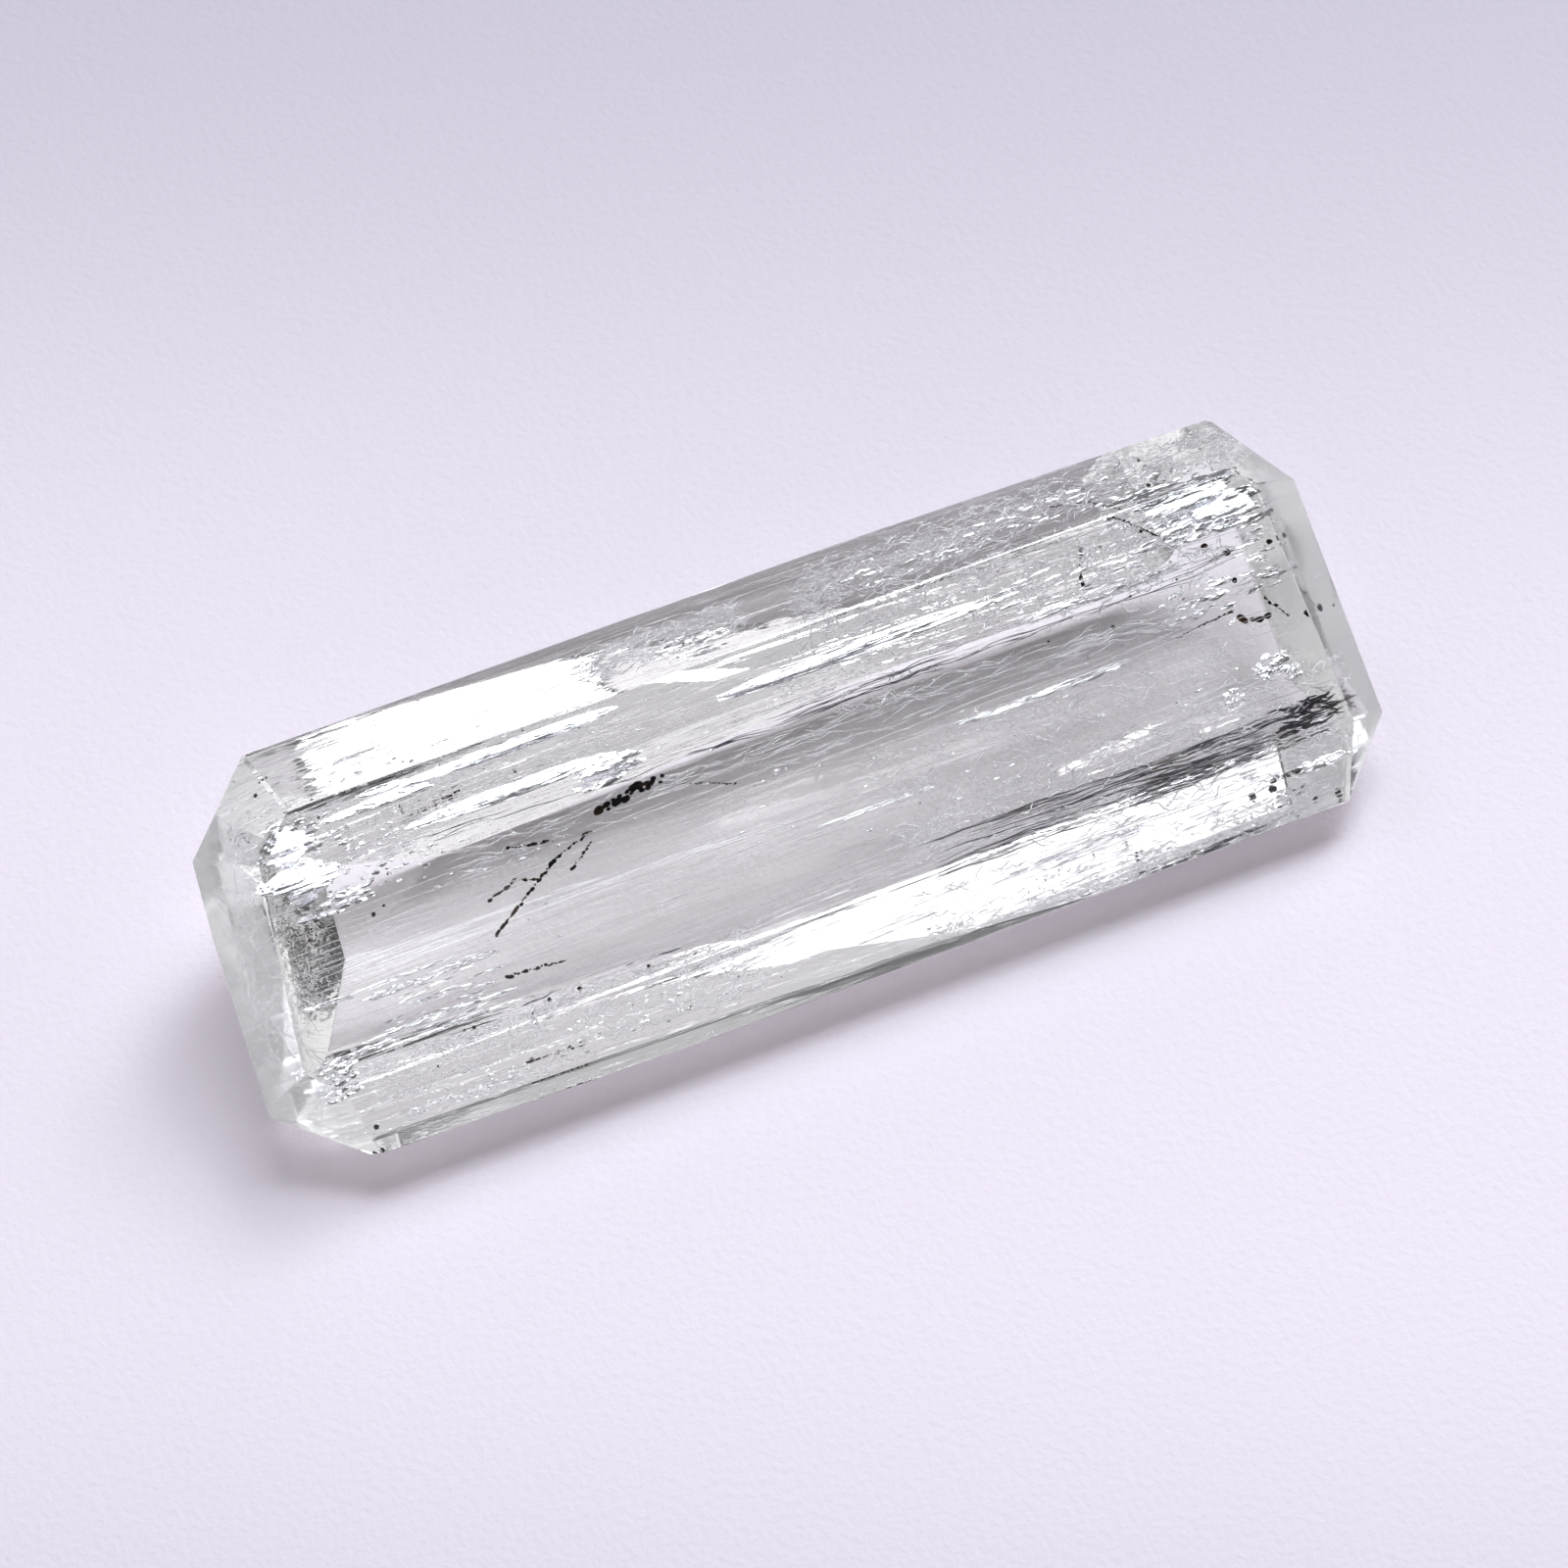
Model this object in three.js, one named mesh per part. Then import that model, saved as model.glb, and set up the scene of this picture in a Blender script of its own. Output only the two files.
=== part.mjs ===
// A faceted scolecite: one long step-cut gem with cut corners, lying on a facet of its pavilion.
// Millimetres, +Z up. The stone's length runs along X and its table leans towards -Y.
// The origin is on the surface that the stone lies on, under the middle of its box.
import * as THREE from 'three';

// Girdle outline, seen square to the table
const girdleLength = 17.13;
const girdleWidth = 6.0;
const girdleThickness = 0.12;
const leftEndSkew = 0.15;           // how much further out the left end is at its front corner

// What each corner takes off the outline, along the length and across the width
const cornerCuts = {
  backLeft: { along: 1.30, across: 1.23 },
  frontLeft: { along: 1.23, across: 1.10 },
  frontRight: { along: 0.95, across: 1.03 },
  backRight: { along: 0.97, across: 1.35 },
};

// Table, above the middle of the girdle
const tableHeight = 0.75;
const tableTilt = 2.0;              // degrees; the crown is a little taller at the back

// The stone lies on the last step of its front pavilion, so that facet's slope is the stone's lean
const restingSlope = 28;

// Slopes in degrees from the girdle plane. A twist turns a facet about the stone's upright axis,
// as in hand cutting. Pavilion steps run down from the girdle: each takes up the depth that it
// names, in millimetres, and the last one runs on to the keel.
const sides = {
  left: {
    crown: { slope: 45.1, twist: -3.6 },
    pavilion: [
      { slope: 56, depth: 1.25, twist: -2.8 },
      { slope: 43, depth: 0.95, twist: -1.3 },
      { slope: 16, twist: 2 },
    ],
  },
  frontLeft: {
    crown: { slope: 44.6 },
    pavilion: [{ slope: 65, depth: 1.55 }, { slope: 43.5 }],
  },
  front: {
    crown: { slope: 29.5 },
    pavilion: [
      { slope: 55.5, depth: 0.42, twist: -1.6 },
      { slope: 44, depth: 0.37, twist: -1.85 },
      { slope: 37.5, depth: 0.71, twist: 1.9 },
      { slope: restingSlope },
    ],
  },
  frontRight: {
    crown: { slope: 51 },
    pavilion: [{ slope: 66, depth: 0.92 }, { slope: 45 }],
  },
  right: {
    crown: { slope: 43.3, twist: 0.7 },
    pavilion: [
      { slope: 60, depth: 1.5, twist: 1.6 },
      { slope: 42, depth: 0.75, twist: 2.9 },
      { slope: 21, twist: -1 },
    ],
  },
  backRight: {
    crown: { slope: 50.7 },
    pavilion: [{ slope: 71, depth: 1.35 }, { slope: 46 }],
  },
  back: {
    crown: { slope: 37.8 },
    pavilion: [
      { slope: 61, depth: 1.07, twist: -1.65 },
      { slope: 52.3, depth: 0.81, twist: -1.6 },
      { slope: 46.6, depth: 0.75, twist: 1.65 },
      { slope: 22.5, twist: -0.8 },
    ],
  },
  backLeft: {
    crown: { slope: 42.1 },
    pavilion: [{ slope: 71.5, depth: 1.5 }, { slope: 39.5 }],
  },
};

const sameSpot = 1e-5;              // points closer than this are one corner of the stone
const nearlyParallel = 1e-9;        // planes whose normals span less than this never meet in a point

const radians = THREE.MathUtils.degToRad;

// The eight corners of the girdle, named by side and end, as points in the girdle plane.
function girdleCorners() {
  const end = girdleLength / 2;
  const edge = girdleWidth / 2;
  const skew = leftEndSkew / 2;
  const { backLeft, frontLeft, frontRight, backRight } = cornerCuts;
  return {
    leftBack: new THREE.Vector2(-end + skew, edge - backLeft.across),
    leftFront: new THREE.Vector2(-end - skew, -edge + frontLeft.across),
    frontLeft: new THREE.Vector2(-end + frontLeft.along, -edge),
    frontRight: new THREE.Vector2(end - frontRight.along, -edge),
    rightFront: new THREE.Vector2(end, -edge + frontRight.across),
    rightBack: new THREE.Vector2(end, edge - backRight.across),
    backRight: new THREE.Vector2(end - backRight.along, edge),
    backLeft: new THREE.Vector2(-end + backLeft.along, edge),
  };
}

// For each side of the outline, the middle of its edge and the level direction it faces.
function girdleEdges() {
  const corner = girdleCorners();
  const ends = {
    left: [corner.leftBack, corner.leftFront],
    frontLeft: [corner.leftFront, corner.frontLeft],
    front: [corner.frontLeft, corner.frontRight],
    frontRight: [corner.frontRight, corner.rightFront],
    right: [corner.rightFront, corner.rightBack],
    backRight: [corner.rightBack, corner.backRight],
    back: [corner.backRight, corner.backLeft],
    backLeft: [corner.backLeft, corner.leftBack],
  };
  const edges = {};
  for (const [name, [from, to]] of Object.entries(ends)) {
    const along = to.clone().sub(from).normalize();
    edges[name] = {
      middle: from.clone().add(to).multiplyScalar(0.5),
      outward: new THREE.Vector2(along.y, -along.x),
    };
  }
  return edges;
}

// A facet that passes through a point, faces the given way when seen from above, and slopes down
// (up = 1, the crown) or back under the stone (up = -1, the pavilion).
function facetPlane(point, outward, slope, twist, up) {
  const facing = outward.clone().rotateAround(new THREE.Vector2(), radians(twist));
  const lean = Math.sin(radians(slope));
  const normal = new THREE.Vector3(facing.x * lean, facing.y * lean, up * Math.cos(radians(slope)));
  return new THREE.Plane().setFromNormalAndCoplanarPoint(normal, point);
}

// Girdle wall, crown facet and pavilion steps of one side.
function sidePlanes(edge, side) {
  const { middle, outward } = edge;
  const halfGirdle = girdleThickness / 2;
  const upper = new THREE.Vector3(middle.x, middle.y, halfGirdle);
  const planes = [
    facetPlane(upper, outward, 90, 0, 1),
    facetPlane(upper, outward, side.crown.slope, side.crown.twist ?? 0, 1),
  ];
  const start = new THREE.Vector3(middle.x, middle.y, -halfGirdle);
  for (const step of side.pavilion) {
    planes.push(facetPlane(start, outward, step.slope, step.twist ?? 0, -1));
    if (step.depth) {
      const inward = step.depth / Math.tan(radians(step.slope));
      start.x -= outward.x * inward;
      start.y -= outward.y * inward;
      start.z -= step.depth;
    }
  }
  return planes;
}

function tablePlane() {
  const tilt = radians(tableTilt);
  const normal = new THREE.Vector3(0, -Math.sin(tilt), Math.cos(tilt));
  return new THREE.Plane().setFromNormalAndCoplanarPoint(normal, new THREE.Vector3(0, 0, tableHeight));
}

// The point where three planes meet, or null where two of them never do.
function meetingPoint(a, b, c) {
  const bc = b.normal.clone().cross(c.normal);
  const volume = a.normal.dot(bc);
  if (Math.abs(volume) < nearlyParallel) return null;
  const ca = c.normal.clone().cross(a.normal);
  const ab = a.normal.clone().cross(b.normal);
  return bc.multiplyScalar(-a.constant).addScaledVector(ca, -b.constant)
    .addScaledVector(ab, -c.constant).divideScalar(volume);
}

// Every corner of the stone: where three facets meet and no other facet cuts the point away.
function stoneCorners(planes) {
  const corners = [];
  for (let i = 0; i < planes.length; i++) {
    for (let j = i + 1; j < planes.length; j++) {
      for (let k = j + 1; k < planes.length; k++) {
        const point = meetingPoint(planes[i], planes[j], planes[k]);
        const kept = point && planes.every((plane) => plane.distanceToPoint(point) < sameSpot);
        if (kept && !corners.some((corner) => corner.distanceTo(point) < 2 * sameSpot)) corners.push(point);
      }
    }
  }
  return corners;
}

// One facet's corners in order around it, counter-clockwise from outside.
function facetOutline(plane, corners) {
  const on = corners.map((_, index) => index)
    .filter((index) => Math.abs(plane.distanceToPoint(corners[index])) < 3 * sameSpot);
  if (on.length < 3) return [];
  const centre = new THREE.Vector3();
  for (const index of on) centre.addScaledVector(corners[index], 1 / on.length);
  const right = corners[on[0]].clone().sub(centre).normalize();
  const up = plane.normal.clone().cross(right);
  const turn = (index) => {
    const arm = corners[index].clone().sub(centre);
    return Math.atan2(arm.dot(up), arm.dot(right));
  };
  return on.sort((first, second) => turn(first) - turn(second));
}

// The closed stone: every facet as a fan of triangles between shared corners.
function stepCutGeometry() {
  const edges = girdleEdges();
  const planes = [tablePlane()];
  for (const [name, side] of Object.entries(sides)) planes.push(...sidePlanes(edges[name], side));
  const corners = stoneCorners(planes);
  const triangles = [];
  for (const plane of planes) {
    const outline = facetOutline(plane, corners);
    for (let i = 1; i + 1 < outline.length; i++) triangles.push(outline[0], outline[i], outline[i + 1]);
  }
  const geometry = new THREE.BufferGeometry();
  const coordinates = corners.flatMap((corner) => corner.toArray());
  geometry.setAttribute('position', new THREE.Float32BufferAttribute(coordinates, 3));
  geometry.setIndex(triangles);
  geometry.computeVertexNormals();
  return geometry;
}

// Clear, colourless, polished crystal.
function polishedScolecite() {
  return new THREE.MeshStandardMaterial({
    color: 0xe4e4e8,
    roughness: 0.04,
    metalness: 0,
    transparent: true,
    opacity: 0.45,
    flatShading: true,
  });
}

// The stone leans until its resting facet is level, then stands on z = 0 over the origin.
function layDown(crystal) {
  crystal.rotation.x = radians(restingSlope);
  const box = new THREE.Box3().setFromObject(crystal, true);
  const middle = box.getCenter(new THREE.Vector3());
  crystal.position.set(-middle.x, -middle.y, -box.min.z);
}

const scolecite = new THREE.Group();
const crystal = new THREE.Mesh(stepCutGeometry(), polishedScolecite());
crystal.name = 'scolecite_crystal';
layDown(crystal);
scolecite.add(crystal);

export default scolecite;
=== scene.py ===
import math
import random

import bmesh
import bpy
from mathutils import Matrix, Vector


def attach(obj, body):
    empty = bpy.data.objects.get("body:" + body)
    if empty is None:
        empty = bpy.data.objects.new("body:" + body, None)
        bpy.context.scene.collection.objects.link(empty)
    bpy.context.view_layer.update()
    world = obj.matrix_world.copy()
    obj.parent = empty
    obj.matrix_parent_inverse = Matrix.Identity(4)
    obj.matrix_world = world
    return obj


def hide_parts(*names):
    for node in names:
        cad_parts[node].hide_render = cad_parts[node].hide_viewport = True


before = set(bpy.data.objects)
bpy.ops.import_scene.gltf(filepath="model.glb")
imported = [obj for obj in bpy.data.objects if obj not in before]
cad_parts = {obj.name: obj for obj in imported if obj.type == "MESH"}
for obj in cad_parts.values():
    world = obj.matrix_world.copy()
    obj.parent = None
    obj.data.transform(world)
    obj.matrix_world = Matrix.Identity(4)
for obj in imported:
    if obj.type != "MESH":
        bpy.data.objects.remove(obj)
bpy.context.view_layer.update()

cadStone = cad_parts["scolecite_crystal"]
mm = 0.001                                       # everything below is written in millimetres


def linear(hexCode):
    # sRGB hex to linear RGBA
    shares = [int(hexCode[i:i + 2], 16) / 255 for i in (1, 3, 5)]
    return [s / 12.92 if s <= 0.04045 else ((s + 0.055) / 1.055) ** 2.4 for s in shares] + [1.0]


def addNode(tree, kind, settings=None, values=None, links=None):
    # a link starts at a socket, or at a node's first output
    node = tree.nodes.new(kind)
    for name, value in (settings or {}).items():
        setattr(node, name, value)
    for key, value in (values or {}).items():
        node.inputs[key].default_value = value
    for key, source in (links or {}).items():
        tree.links.new(getattr(source, "outputs", [source])[0], node.inputs[key])
    return node


def newMaterial(name):
    # an empty material, its tree, and the place on the piece that its patterns read
    material = bpy.data.materials.new(name)
    material.use_nodes = True
    tree = material.node_tree
    tree.nodes.clear()
    return material, tree, addNode(tree, "ShaderNodeTexCoord").outputs["Object"]


def roughened(tree, place, size, depth, strength, detail=2.0):
    # a noise of that size in mm, and the surface that it pits to that depth
    pattern = addNode(tree, "ShaderNodeTexNoise", values={"Scale": 1 / (size * mm), "Detail": detail},
                      links={"Vector": place})
    relief = addNode(tree, "ShaderNodeBump", values={"Strength": strength, "Distance": depth * mm},
                     links={"Height": pattern})
    return pattern, relief


def addObject(name, mesh, material=None):
    thing = bpy.data.objects.new(name, mesh)
    bpy.context.scene.collection.objects.link(thing)
    if material:
        mesh.materials.clear()
        mesh.materials.append(material)
    return thing


def meshFrom(solid, name):
    mesh = bpy.data.meshes.new(name)
    solid.to_mesh(mesh)
    solid.free()
    return mesh


# the stone's own axes, read from its table, the largest flat that faces up:
# x along the length, y across towards the back, z square out of the table

def cadFlats():
    # the CAD faces sorted by the way they face
    flats = {}
    for face in cadStone.data.polygons:
        flats.setdefault(tuple(round(part, 3) for part in face.normal), []).append(face)
    return flats


def stoneAxes():
    # of the flats within 60 degrees of level, the table is the one with the largest area
    upward = [faces for way, faces in cadFlats().items() if way[2] > math.cos(math.radians(60))]
    table = max(upward, key=lambda faces: sum(face.area for face in faces))
    area = sum(face.area for face in table)
    centre = sum((face.center * face.area for face in table), Vector()) / area
    up = table[0].normal.copy()
    along = (Vector((1, 0, 0)) - up * up.x).normalized()
    axes = Matrix((along, up.cross(along), up)).transposed().to_4x4()
    axes.translation = centre
    return axes


tableAxes = stoneAxes()


def inStone(x, y, depth):
    # a point x along and y across from the middle of the table, and that far below it
    return tableAxes @ (Vector((x, y, -depth)) * mm)


# camera
view = {
    "elevation": 57.5,        # degrees above the floor
    "turn": 23.32,            # degrees from straight in front, towards the stone's left end
    "distance": 90.0,         # mm
    "pixelsPerMm": 71.65,     # at the stone, in a frame 1600 pixels wide
    "frameWidth": 1600.0,
    "aimPixel": (807.5, 794.4),
    "aimDepth": 0.75,         # mm below the table, the middle of the girdle
    "sensor": 36.0,           # mm
    "nearest": 1.0,           # mm, what the lens clips
    "farthest": 10000.0,
}


def addCamera():
    lens = bpy.data.cameras.new("camera")
    camera = addObject("camera", lens)
    lift, turn = math.radians(view["elevation"]), math.radians(view["turn"])
    back = Vector((-math.sin(turn) * math.cos(lift), -math.cos(turn) * math.cos(lift), math.sin(lift)))
    camera.location = inStone(0, 0, view["aimDepth"]) + back * view["distance"] * mm
    camera.rotation_mode = "QUATERNION"
    camera.rotation_quaternion = (-back).to_track_quat("-Z", "Y")
    lens.sensor_width = view["sensor"]
    lens.lens = view["pixelsPerMm"] * view["distance"] / view["frameWidth"] * view["sensor"]
    half = view["frameWidth"] / 2
    lens.shift_x = (half - view["aimPixel"][0]) / view["frameWidth"]
    lens.shift_y = (view["aimPixel"][1] - half) / view["frameWidth"]
    lens.clip_start = view["nearest"] * mm
    lens.clip_end = view["farthest"] * mm
    bpy.context.scene.camera = camera


addCamera()
print("camera placed")


# the cut crystal
cut = {
    "edgeWear": 0.012,        # mm taken off each facet edge
    "edgeWearSpread": 0.006,
    "mergeWithin": 0.001,     # mm
    "flatWithin": 0.3,        # degrees
    "onPlane": 1e-9,          # metres
    "seed": 11,
}


def convexSolid():
    solid = bmesh.new()
    solid.from_mesh(cadStone.data)
    solid.transform(cadStone.matrix_world)
    bmesh.ops.remove_doubles(solid, verts=solid.verts, dist=cut["mergeWithin"] * mm)
    bmesh.ops.dissolve_limit(solid, angle_limit=math.radians(cut["flatWithin"]), verts=solid.verts,
                             edges=solid.edges)
    return solid


def cutFlat(solid, point, outward):
    # takes off what lies outside a plane and closes the cut with one flat face
    everything = solid.verts[:] + solid.edges[:] + solid.faces[:]
    cutAway = bmesh.ops.bisect_plane(solid, geom=everything, plane_co=point, plane_no=outward,
                                     dist=cut["onPlane"], clear_outer=True)
    rim = [item for item in cutAway["geom_cut"] if isinstance(item, bmesh.types.BMEdge)]
    if len(rim) > 2:
        bmesh.ops.contextual_create(solid, geom=rim)


def wearEdges(solid, rng):
    edges = []
    for edge in solid.edges:
        outward = (edge.link_faces[0].normal + edge.link_faces[1].normal).normalized()
        edges.append(((edge.verts[0].co + edge.verts[1].co) / 2, outward))
    for middle, outward in edges:
        wear = cut["edgeWear"] + rng.uniform(-1, 1) * cut["edgeWearSpread"]
        cutFlat(solid, middle - outward * wear / 2 * mm, outward)


def cutCrystal():
    solid = convexSolid()
    solid.normal_update()
    wearEdges(solid, random.Random(cut["seed"]))
    bmesh.ops.recalc_face_normals(solid, faces=solid.faces)
    return meshFrom(solid, "cut crystal")


polish = {
    "ior": 1.51,
    "colour": "#fdfffa",                 # a breath of green against the lavender of the room
    "tint": "#f8ffec",                   # what the light takes on along its way through
    "tintDensity": 10.0,                 # per metre
    "grainCells": (150, 3500, 3500),     # per metre: drawn out along the stone, fine across it
    "grainDetail": 3.0,
    "grainDepth": 0.004,                 # mm
    "dullFrom": 7.7, "dullTo": 7.9,      # mm from the middle, along the length
    "dullEnds": 0.16,                    # roughness of the end facets
}


def polishedScolecite():
    # clear and colourless, with the faint lengthwise grain that a soft zeolite keeps under polish
    material, tree, place = newMaterial("polished scolecite crystal")
    alongGrain = addNode(tree, "ShaderNodeMapping", values={"Scale": polish["grainCells"]},
                         links={"Vector": place})
    grain = addNode(tree, "ShaderNodeTexNoise", values={"Scale": 1.0, "Detail": polish["grainDetail"]},
                    links={"Vector": alongGrain})
    relief = addNode(tree, "ShaderNodeBump",
                     values={"Strength": 1.0, "Distance": polish["grainDepth"] * mm},
                     links={"Height": grain})
    # across the fibres, at the two ends, the polish stays duller
    sideways = addNode(tree, "ShaderNodeSeparateXYZ", links={"Vector": place}).outputs["X"]
    fromMiddle = addNode(tree, "ShaderNodeMath", {"operation": "ABSOLUTE"}, links={0: sideways})
    dullness = addNode(tree, "ShaderNodeMapRange",
                       values={"From Min": polish["dullFrom"] * mm, "From Max": polish["dullTo"] * mm,
                               "To Min": 0.0, "To Max": polish["dullEnds"]}, links={"Value": fromMiddle})
    crystal = addNode(tree, "ShaderNodeBsdfPrincipled",
                      values={"Base Color": linear(polish["colour"]), "IOR": polish["ior"],
                              "Transmission Weight": 1.0}, links={"Normal": relief, "Roughness": dullness})
    tint = addNode(tree, "ShaderNodeVolumeAbsorption",
                   values={"Color": linear(polish["tint"]), "Density": polish["tintDensity"]})
    addNode(tree, "ShaderNodeOutputMaterial", links={"Surface": crystal, "Volume": tint})
    return material


crystal = addObject("crystal", cutCrystal(), polishedScolecite())
print("crystal cut:", len(crystal.data.polygons), "faces")


# what grew inside the crystal: Geometry Nodes trees that work in millimetres on the stone's own axes.
# Each grown mesh is then laid into the stone.
inTheStone = tableAxes @ Matrix.Scale(mm, 4)
skinClearance = 0.03                             # mm that all growth keeps from the skin
noiseMiddle = 0.5                                # noise runs from 0 to 1


def newTree(name, inputs):
    # every tree gets the stone that its growth stays inside, and the finish that it wears
    tree = bpy.data.node_groups.new(name, "GeometryNodeTree")
    shared = {"Start": "Geometry", "Stone": "Object", "Clearance": "Float", "Finish": "Material",
              "Seed": "Int"}
    for label, kind in {**shared, **inputs}.items():
        tree.interface.new_socket(name=label, in_out="INPUT", socket_type="NodeSocket" + kind)
    tree.interface.new_socket(name="Grown", in_out="OUTPUT", socket_type="NodeSocketGeometry")
    given = addNode(tree, "NodeGroupInput").outputs
    stone = addNode(tree, "GeometryNodeObjectInfo", {"transform_space": "RELATIVE"},
                    links={"Object": given["Stone"]})
    return tree, given, stone.outputs["Geometry"]


def depthInside(tree, stone):
    # the nearest point of the stone's skin, the way the skin faces there, and the depth below it
    place = addNode(tree, "GeometryNodeInputPosition")
    nearest = addNode(tree, "GeometryNodeProximity", links={"Geometry": stone})
    facing = addNode(tree, "GeometryNodeInputNormal")
    skin = addNode(tree, "GeometryNodeSampleNearestSurface", {"data_type": "FLOAT_VECTOR"},
                   links={"Mesh": stone, "Value": facing}).outputs["Value"]
    gap = addNode(tree, "ShaderNodeVectorMath", {"operation": "SUBTRACT"}, links={0: nearest, 1: place})
    depth = addNode(tree, "ShaderNodeVectorMath", {"operation": "DOT_PRODUCT"}, links={0: gap, 1: skin})
    return nearest, skin, depth.outputs["Value"]


def clipped(tree, geometry, stone, clearance, fewest):
    # drops the curve points that come near the skin or leave the stone, and what is left too short
    depth = depthInside(tree, stone)[2]
    shallow = addNode(tree, "ShaderNodeMath", {"operation": "LESS_THAN"}, links={0: depth, 1: clearance})
    inner = addNode(tree, "GeometryNodeDeleteGeometry", {"domain": "POINT"},
                    links={"Geometry": geometry, "Selection": shallow})
    points = addNode(tree, "GeometryNodeSplineLength").outputs["Point Count"]
    stub = addNode(tree, "ShaderNodeMath", {"operation": "LESS_THAN"}, {1: fewest}, {0: points})
    return addNode(tree, "GeometryNodeDeleteGeometry", {"domain": "CURVE"},
                   links={"Geometry": inner, "Selection": stub})


def finishTree(tree, given, geometry, stone):
    # whatever still reaches the skin is pressed back under it, so that nothing shows outside
    single = addNode(tree, "GeometryNodeRealizeInstances", links={"Geometry": geometry})
    nearest, skin, depth = depthInside(tree, stone)
    shallow = addNode(tree, "ShaderNodeMath", {"operation": "LESS_THAN"},
                      links={0: depth, 1: given["Clearance"]})
    inward = addNode(tree, "ShaderNodeVectorMath", {"operation": "SCALE"},
                     links={0: skin, "Scale": given["Clearance"]})
    under = addNode(tree, "ShaderNodeVectorMath", {"operation": "SUBTRACT"}, links={0: nearest, 1: inward})
    pressed = addNode(tree, "GeometryNodeSetPosition",
                      links={"Geometry": single, "Selection": shallow, "Position": under})
    dressed = addNode(tree, "GeometryNodeSetMaterial",
                      links={"Geometry": pressed, "Material": given["Finish"]})
    addNode(tree, "NodeGroupOutput", links={"Grown": dressed})


def grow(name, tree, start, values):
    piece = addObject(name, start)
    piece.matrix_world = inTheStone
    modifier = piece.modifiers.new(name, "NODES")
    modifier.node_group = tree
    settings = {"Stone": crystal, "Clearance": skinClearance, **values}
    for socket in tree.interface.items_tree:
        if socket.in_out == "INPUT" and socket.name in settings:
            modifier[socket.identifier] = settings[socket.name]
    bpy.context.view_layer.update()
    evaluated = piece.evaluated_get(bpy.context.evaluated_depsgraph_get())
    mesh = bpy.data.meshes.new_from_object(evaluated)
    piece.modifiers.clear()
    if len(mesh.materials) > 1:                  # realized instances leave an empty slot first
        mesh.materials.pop(index=0)
    mesh.name = name
    mesh.transform(inTheStone)
    piece.data = mesh
    piece.matrix_world = Matrix.Identity(4)
    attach(piece, "root")
    print(name, "grown:", len(mesh.polygons), "faces")


# finishes of what is inside
tubeWall = {
    "colour": "#ffffff",
    "ior": 0.66,                                                # from crystal into air
    "etch": {"size": 0.05, "depth": 0.002, "strength": 0.3},    # mm
}


def hollowTube():
    # an empty tube: its wall bends light the other way, so it shows as a fine line of light and dark
    material, tree, place = newMaterial("hollow growth tube")
    relief = roughened(tree, place, **tubeWall["etch"])[1]
    wall = addNode(tree, "ShaderNodeBsdfGlass",
                   values={"Color": linear(tubeWall["colour"]), "Roughness": 0.0, "IOR": tubeWall["ior"]},
                   links={"Normal": relief})
    addNode(tree, "ShaderNodeOutputMaterial", links={"Surface": wall})
    return material


airGap = {
    "dimmest": "#f8f9fc",
    "brightest": "#ffffff",
    "roughness": 0.14,
    "etch": {"size": 0.06, "depth": 0.006, "strength": 0.25, "detail": 3.0},    # mm
}


def airFilm():
    # a film of air in a crack throws light back like silver, and its etched face breaks it into sparkle
    material, tree, place = newMaterial("air film in a crack")
    etch, relief = roughened(tree, place, **airGap["etch"])
    colour = addNode(tree, "ShaderNodeMix", {"data_type": "RGBA"},
                     {6: linear(airGap["dimmest"]), 7: linear(airGap["brightest"])}, {"Factor": etch})
    film = addNode(tree, "ShaderNodeBsdfPrincipled",
                   values={"Metallic": 1.0, "Roughness": airGap["roughness"]},
                   links={"Base Color": colour.outputs[2], "Normal": relief})
    addNode(tree, "ShaderNodeOutputMaterial", links={"Surface": film})
    return material


crust = {
    "patchSize": 0.4,                     # mm
    "warmFrom": 0.45, "warmTo": 0.65,     # noise values between which the second colour comes in
    "pits": {"size": 0.02, "depth": 0.003, "strength": 0.5},    # mm
    "roughness": 0.9,
    "specular": 0.05,
}


def dullCrust(name, dark, warm):
    # iron and manganese oxide on grains: dull and dark, and warmer in places; the same finish dresses the
    # dark fibres that are painted shade
    material, tree, place = newMaterial(name)
    patches = addNode(tree, "ShaderNodeTexNoise",
                      values={"Scale": 1 / (crust["patchSize"] * mm), "Detail": 3.0},
                      links={"Vector": place})
    share = addNode(tree, "ShaderNodeMapRange",
                    values={"From Min": crust["warmFrom"], "From Max": crust["warmTo"]},
                    links={"Value": patches})
    colour = addNode(tree, "ShaderNodeMix", {"data_type": "RGBA"}, {6: linear(dark), 7: linear(warm)},
                     {"Factor": share})
    relief = roughened(tree, place, **crust["pits"])[1]
    grain = addNode(tree, "ShaderNodeBsdfPrincipled",
                    values={"Roughness": crust["roughness"], "Specular IOR Level": crust["specular"]},
                    links={"Base Color": colour.outputs[2], "Normal": relief})
    addNode(tree, "ShaderNodeOutputMaterial", links={"Surface": grain})
    return material


hollow = hollowTube()
film = airFilm()
oxide = dullCrust("black oxide grains", "#0c0c0e", "#3a2a1c")
# painted shade: these two dull grey finishes dress dark fibres that stand for the shadowed floor seen
# through the stone
shadeFibre = dullCrust("painted shade fibre", "#565861", "#66625f")
darkShadeFibre = dullCrust("dark painted shade fibre", "#40404a", "#4c4846")


# tubes, fibres and curled cracks: a cloud of lines in a box, waved, clipped to the stone and given
# thickness
tubes = {
    "bunchScale": (0.12, 2.2, 2.2),      # noise cells per mm along the length and across it
    "foldScale": 0.8,                    # the same for the folds that lift and lower whole sheets of them
    "shortest": 0.25,                    # share of the longest, before it is squared
    "thinnest": 0.3,                     # share of the thickest
    "taper": 0.5,                        # a power: the lower, the later the ends draw in
    "tip": 0.1,                          # share of the thickest that the ends keep
    "fewestPoints": 4,
}


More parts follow.
